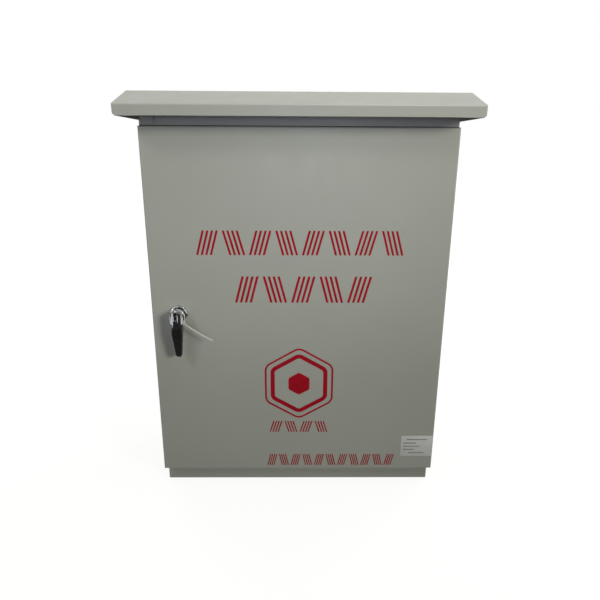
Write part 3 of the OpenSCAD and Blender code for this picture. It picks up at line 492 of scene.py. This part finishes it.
# Columns, pitch, shoulder depth, height, nose height and well radius of each device, in mm
CLAMPS = {
    "main_breaker": (3, 17.6, 49, 82, 45, 3.0),
    **{node: (1, 0, 49, 82, 45, 3.0) for node in BRANCHES},
    "contactor": (3, 13, 50, 76, 50, 3.5),
    "power_supply": (5, 10, 62, 112, 70, 2.5),
    "dimming_controller": (13, 10, 44, 92, 48, 2.0),
    "terminal_blocks": (14, 6.2, 34, 46, 16, 1.9),
}


def centre_of(node):
    """Middle of a device in x and z, on the mounting plate's front."""
    low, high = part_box(node)
    return Vector(((low.x + high.x) / 2, PLATE_FRONT, (low.z + high.z) / 2))


def nose_of(node):
    """Middle of a device's front face."""
    return Vector((centre_of(node).x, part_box(node)[0].y, centre_of(node).z))


def columns_of(node):
    """Places of a device's clamp columns from its middle, in mm."""
    columns, pitch = CLAMPS[node][:2]
    return [(i - (columns - 1) / 2) * pitch for i in range(columns)]


def clamp_screw(name, radius):
    """A slotted screw head that stands on the origin and faces the door."""
    deselect()
    bpy.ops.mesh.primitive_cylinder_add(vertices=HEAD_SIDES, radius=radius, depth=HEAD_H,
                                        location=(0, -HEAD_H / 2, 0), rotation=FACING_DOOR)
    piece = settle(name)
    edit_points(piece, lambda point: point.y < -HEAD_H / 2)
    bpy.ops.mesh.select_mode(type="EDGE")
    bpy.ops.mesh.bevel(offset=radius * HEAD_ROUND_SHARE, segments=2)
    leave_edit()
    half = radius * SLOT_SHARE / 2
    cutter = block("slot", (-2 * radius, -2 * HEAD_H, -half), (2 * radius, -HEAD_H / 2, half))
    apply_modifier(piece, "BOOLEAN", object=cutter, operation="DIFFERENCE", solver="EXACT")
    bpy.data.objects.remove(cutter)
    bpy.ops.object.shade_smooth_by_angle()
    return piece


def clamp_screws(node):
    """Screw heads at the bottom of a device's clamp wells."""
    shoulder, height, nose, well = CLAMPS[node][2:]
    name = node + "_screws"
    middle = centre_of(node) - Vector((0, (shoulder - WELL_DEPTH) * MM, 0))
    rise = (height + nose) / 4 * MM
    places = [middle + Vector((x * MM, 0, side * rise)) for x in columns_of(node) for side in (-1, 1)]
    head = clamp_screw(name, (well - HEAD_GAP) * MM)
    dress(copies(head, name, places), "cabinet", FINISH["zinc"])


def face_bars(name, node, bars, material, thickness=INK, sink=0.0):
    """Flat bars on a device's front: left, low, right and high of each from the face's middle, in mm."""
    middle = nose_of(node) + Vector((0, sink, 0))
    pieces = [
        soft_block(name, middle + Vector((left * MM, -thickness, low * MM)),
                   middle + Vector((right * MM, 0, high * MM)), thickness / 4)
        for left, low, right, high in bars
    ]
    return dress(join(name, pieces), "cabinet", material)


def lens(name, radius):
    """A domed lens that stands on the origin and faces the door."""
    deselect()
    bpy.ops.mesh.primitive_uv_sphere_add(segments=20, ring_count=12, radius=radius)
    piece = settle(name)
    edit_all(piece)
    bpy.ops.mesh.bisect(plane_co=(0, 0, 0), plane_no=(0, 1, 0), use_fill=True, clear_outer=True)
    leave_edit()
    bpy.ops.object.shade_smooth_by_angle()
    return piece


def lenses(name, node, places, radius, material, sink=0.0):
    """Domed lenses on a device's front, at x and z from its middle, in mm."""
    middle = nose_of(node) + Vector((0, sink, 0))
    offsets = [middle + Vector((x * MM, 0, z * MM)) for x, z in places]
    dress(copies(lens(name, radius * MM), name, offsets), "cabinet", material)


for node in CLAMPS:
    clamp_screws(node)

# Left, low, right and high of each bar from the middle of a pole, a clamp or a front, in mm
POLE_WINDOW = [(-2.6, 12.5, 2.6, 16.5)]
POLE_PRINT = [(-5.5, -13, 5.5, -11.6), (-5.5, -16, 2.5, -14.6), (-5.5, -19, 4, -17.6)]
TERMINAL_TAG = [(-2.2, -3, 2.2, 3)]
CONTACTOR_LABEL = [(-16, 13, 16, 21)]
SUPPLY_LABEL = [(-26, 28, 10, 33)]
SUPPLY_LENS = (22, 30)
SUPPLY_LENS_R = 2.0


def on_columns(node, bars):
    """The same bars on each clamp column of a device."""
    return [(x + left, low, x + right, high) for x in columns_of(node) for left, low, right, high in bars]


for node in ["main_breaker"] + BRANCHES:
    face_bars(node + "_windows", node, on_columns(node, POLE_WINDOW), RED_LENS, WINDOW_T)
    face_bars(node + "_print", node, on_columns(node, POLE_PRINT), GREY_PRINT)

face_bars("contactor_label", "contactor", CONTACTOR_LABEL, PLATE_FACE, LABEL_T)
lenses("supply_lens", "power_supply", [SUPPLY_LENS], SUPPLY_LENS_R, GREEN_LENS)
face_bars("supply_label", "power_supply", SUPPLY_LABEL, PLATE_FACE, LABEL_T)

# The controller's face sheet lies in its recess, with a window and a row of lenses on it
FACE_SHEET = (61, 18)
FACE_SHEET_EDGE = 0.2 * MM
RECESS = 1.2 * MM
SHEET_SINK = 0.4 * MM
FACE_WINDOW = [(-52, -9, -8, 11)]
# Places of the four channels across, then the lens and its mark from there, in mm
CHANNELS = (6, 18, 30, 42)
CHANNEL_LENS_Z = 6
CHANNEL_LENS_R = 1.6
CHANNEL_MARK = (-3, -2, 3, -0.8)


def controller_face():
    node = "dimming_controller"
    low = nose_of(node) + Vector((-FACE_SHEET[0] * MM, SHEET_SINK, -FACE_SHEET[1] * MM))
    high = nose_of(node) + Vector((FACE_SHEET[0] * MM, RECESS, FACE_SHEET[1] * MM))
    dress(soft_block("controller_face", low, high, FACE_SHEET_EDGE), "cabinet", DARK_FACE)
    face_bars("controller_window", node, FACE_WINDOW, DARK_GLASS, LABEL_T, sink=SHEET_SINK)
    places = [(x, CHANNEL_LENS_Z) for x in CHANNELS]
    lenses("controller_lenses", node, places, CHANNEL_LENS_R, GREEN_LENS, SHEET_SINK)
    left, low, right, high = CHANNEL_MARK
    marks = [(x + left, low, x + right, high) for x in CHANNELS]
    face_bars("controller_print", node, marks, PLATE_FACE, sink=SHEET_SINK)


controller_face()

tags = on_columns("terminal_blocks", TERMINAL_TAG)
face_bars("terminal_tags", "terminal_blocks", tags, PLATE_FACE, TAG_T)


# Studio

FLOOR_SIDE = 40
FLOOR_DROP = 0.5 * MM
FLOOR_TONE = (0.10, 0.097, 0.085)
# Glow of the floor under the cabinet and at its reach, for rays that see or mirror it
FLOOR_GLOW = (0.90, 0.985)
FLOOR_REACH = 2.2


def floor():
    """Pale floor that keeps the shadow near the cabinet and turns white further out."""
    deselect()
    bpy.ops.mesh.primitive_plane_add(size=FLOOR_SIDE, location=(0, 0, -FLOOR_DROP))
    plane = settle("floor")
    material, tree, shader, place = finish("pale_floor", FLOOR_TONE, 0.9)
    away = tree.nodes.new("ShaderNodeVectorMath")
    away.operation = "LENGTH"
    tree.links.new(place, away.inputs[0])
    level = tree.nodes.new("ShaderNodeMapRange")
    level.inputs["From Max"].default_value = FLOOR_REACH
    level.inputs["To Min"].default_value = FLOOR_GLOW[0]
    level.inputs["To Max"].default_value = FLOOR_GLOW[1]
    tree.links.new(away.outputs["Value"], level.inputs["Value"])
    seen = seen_rays(tree)
    strength = tree.nodes.new("ShaderNodeMath")
    strength.operation = "MULTIPLY"
    tree.links.new(seen, strength.inputs[0])
    tree.links.new(level.outputs["Result"], strength.inputs[1])
    glow = tree.nodes.new("ShaderNodeEmission")
    tree.links.new(strength.outputs[0], glow.inputs["Strength"])
    both = tree.nodes.new("ShaderNodeAddShader")
    tree.links.new(shader.outputs[0], both.inputs[0])
    tree.links.new(glow.outputs[0], both.inputs[1])
    tree.links.new(both.outputs[0], tree.nodes["Material Output"].inputs["Surface"])
    plane.data.materials.append(material)


def seen_rays(tree):
    """One for camera, glossy and transmission rays, none for the rest."""
    path = tree.nodes.new("ShaderNodeLightPath")
    seen = path.outputs["Is Camera Ray"]
    for ray in ("Is Glossy Ray", "Is Transmission Ray"):
        either = tree.nodes.new("ShaderNodeMath")
        either.operation = "MAXIMUM"
        tree.links.new(seen, either.inputs[0])
        tree.links.new(path.outputs[ray], either.inputs[1])
        seen = either.outputs[0]
    return seen


def world():
    """White where it is seen or mirrored, with all the light left to the lamps."""
    sky = bpy.data.worlds.new("studio")
    bpy.context.scene.world = sky
    sky.use_nodes = True
    tree = sky.node_tree
    unlit = tree.nodes["Background"]
    unlit.inputs["Strength"].default_value = 0.0
    white = tree.nodes.new("ShaderNodeBackground")
    white.inputs["Color"].default_value = (1, 1, 1, 1)
    white.inputs["Strength"].default_value = 1.0
    choice = tree.nodes.new("ShaderNodeMixShader")
    tree.links.new(seen_rays(tree), choice.inputs["Fac"])
    tree.links.new(unlit.outputs[0], choice.inputs[1])
    tree.links.new(white.outputs[0], choice.inputs[2])
    tree.links.new(choice.outputs[0], tree.nodes["World Output"].inputs["Surface"])


def hang(light, power, color, place, target):
    """Hangs a light at a place and aims it at a target."""
    light.energy = power
    light.color = color
    thing = bpy.data.objects.new(light.name, light)
    bpy.context.scene.collection.objects.link(thing)
    thing.location = place
    thing.rotation_euler = (Vector(target) - Vector(place)).to_track_quat("-Z", "Y").to_euler()
    return thing


def soft_box(name, place, target, power, size, mirrored):
    """A white rectangular light, which polished metal may or may not mirror."""
    light = bpy.data.lights.new(name, "AREA")
    light.shape = "RECTANGLE"
    light.size, light.size_y = size
    hang(light, power, (1, 1, 1), place, target).visible_glossy = mirrored


def spot(name, place, target, power, angle, radius, color):
    """A round light whose beam fades towards its edge."""
    light = bpy.data.lights.new(name, "SPOT")
    light.spot_size = math.radians(angle)
    light.spot_blend = 1.0
    light.shadow_soft_size = radius
    hang(light, power, color, place, target)


def dark_flag(name, low, high):
    """A dark studio card that only mirrors see, so that bright metal shows contrast."""
    card = block(name, low, high)
    material, _, _, _ = finish(name, (0.02, 0.02, 0.02), 0.9)
    card.data.materials.append(material)
    card.visible_camera = False
    card.visible_diffuse = False
    card.visible_shadow = False


COOL = (1.0, 1.0, 1.2)
WARM = (1.01, 1.0, 0.88)
# Name, place, target, power, beam angle in degrees, radius and colour of each spot in front
SPOTS = [
    ("right_spot", (3.2, -3.2, 1.9), (0.05, -0.13, 0.74), 860, 25, 0.7, WARM),
    ("high_spot", (-2.2, -2.2, 2.9), (-0.05, -0.13, 0.66), 140, 34, 0.4, WARM),
    ("left_spot", (-1.5, -1.9, 0.8), (-0.1, -0.13, 0.66), 18, 38, 0.3, COOL),
    ("near_spot", (0.1, -2.2, 0.7), (0, -0.13, 0.64), 28, 38, 0.3, COOL),
]
# Name, place, target, power and size of each soft box, and whether polished metal mirrors it
SOFT_BOXES = [
    ("top_box", (0.5, -0.3, 2.6), (0.2, -0.1, 0.8), 20.5, (1.2, 0.8), True),
    ("back_left_box", (-1.7, 1.9, 1.5), (0, 0, 0.45), 34, (1.2, 1.2), False),
    ("back_right_box", (1.9, 1.6, 1.5), (0, 0, 0.45), 34, (1.2, 1.2), False),
]
# Name and corners of each dark card
FLAGS = [
    ("front_flag", (-1.8, -3.52, 0.0), (1.5, -3.5, 2.6)),
    ("floor_flag", (-0.7, -2.8, 0.004), (1.3, -0.45, 0.006)),
    ("side_flag", (-3.0, -2.8, 0.004), (-1.5, 0.3, 0.006)),
]
floor()
world()
for values in FLAGS:
    dark_flag(*values)
for values in SPOTS:
    spot(*values)
for values in SOFT_BOXES:
    soft_box(*values)


# Camera

def camera():
    data = bpy.data.cameras.new("camera")
    data.sensor_width = SENSOR
    data.lens = FOCAL_PIXELS / PHOTO_SIDE * SENSOR
    thing = bpy.data.objects.new("camera", data)
    bpy.context.scene.collection.objects.link(thing)
    turn = (
        Matrix.Rotation(CAMERA_YAW, 4, "Z")
        @ Matrix.Rotation(math.pi / 2 - CAMERA_PITCH, 4, "X")
        @ Matrix.Rotation(CAMERA_ROLL, 4, "Z")
    )
    thing.matrix_world = Matrix.Translation(CAMERA_PLACE) @ turn
    bpy.context.scene.camera = thing


camera()
bpy.context.scene.view_settings.view_transform = "Standard"
